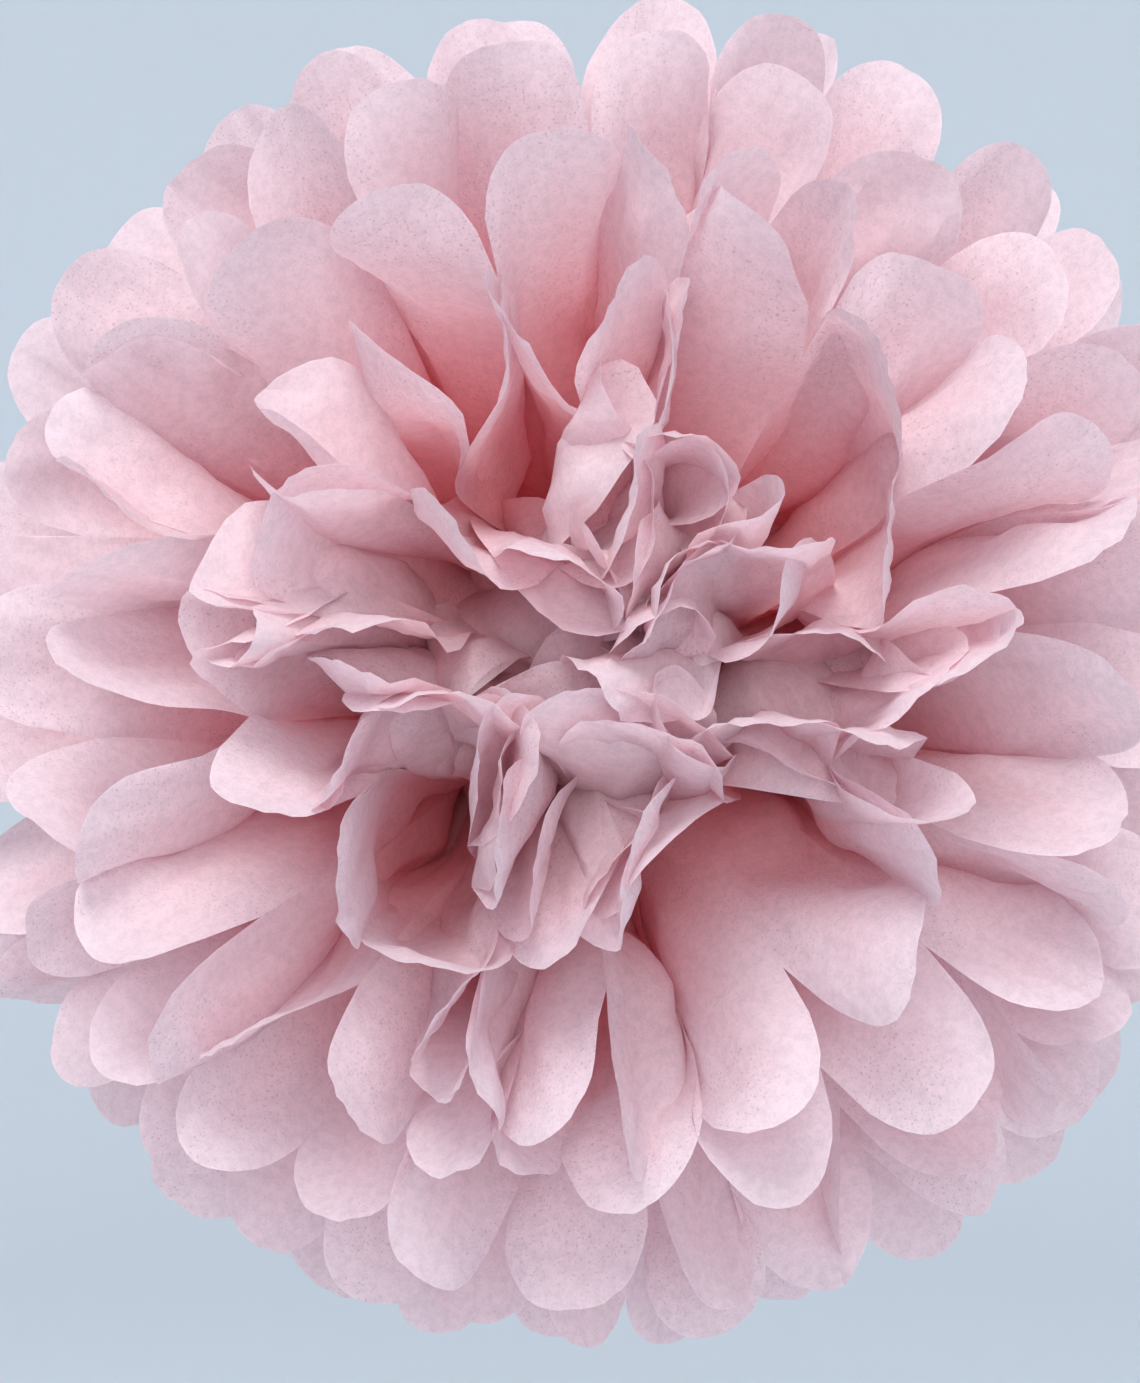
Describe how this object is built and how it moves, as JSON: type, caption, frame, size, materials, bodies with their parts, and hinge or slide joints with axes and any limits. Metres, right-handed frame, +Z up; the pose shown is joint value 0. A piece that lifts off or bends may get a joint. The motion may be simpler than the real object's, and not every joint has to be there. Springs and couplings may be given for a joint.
{
  "type": "tissue paper pom pom",
  "caption": "Round hanging decoration: pleated tissue sheets with rounded ends, tied at the middle with wire and fluffed into a ball.",
  "frame": {"origin": "the middle of the ball, which is the middle of the waist where the wire ties the sheets", "axes": "+Z up as it hangs; -Y towards the viewer, along the ball's pole; +Y back towards the wall, along the wire tail to its eye; +X to the viewer's right, along the row of pleats at the waist"},
  "size_m": [0.4898, 0.4636, 0.4974],
  "materials": {
    "tissue": "matt, slightly see-through, fine mottled fibre",
    "wire": "plain annealed wire"
  },
  "bodies": {
    "root": {"sheet_01": "tissue", "sheet_02": "tissue", "sheet_03": "tissue", "sheet_04": "tissue", "sheet_05": "tissue", "sheet_06": "tissue", "sheet_07": "tissue", "sheet_08": "tissue", "sheet_09": "tissue", "sheet_10": "tissue", "sheet_11": "tissue", "sheet_12": "tissue", "sheet_13": "tissue", "sheet_14": "tissue", "wire_tie": "wire"}
  },
  "joints": []
}
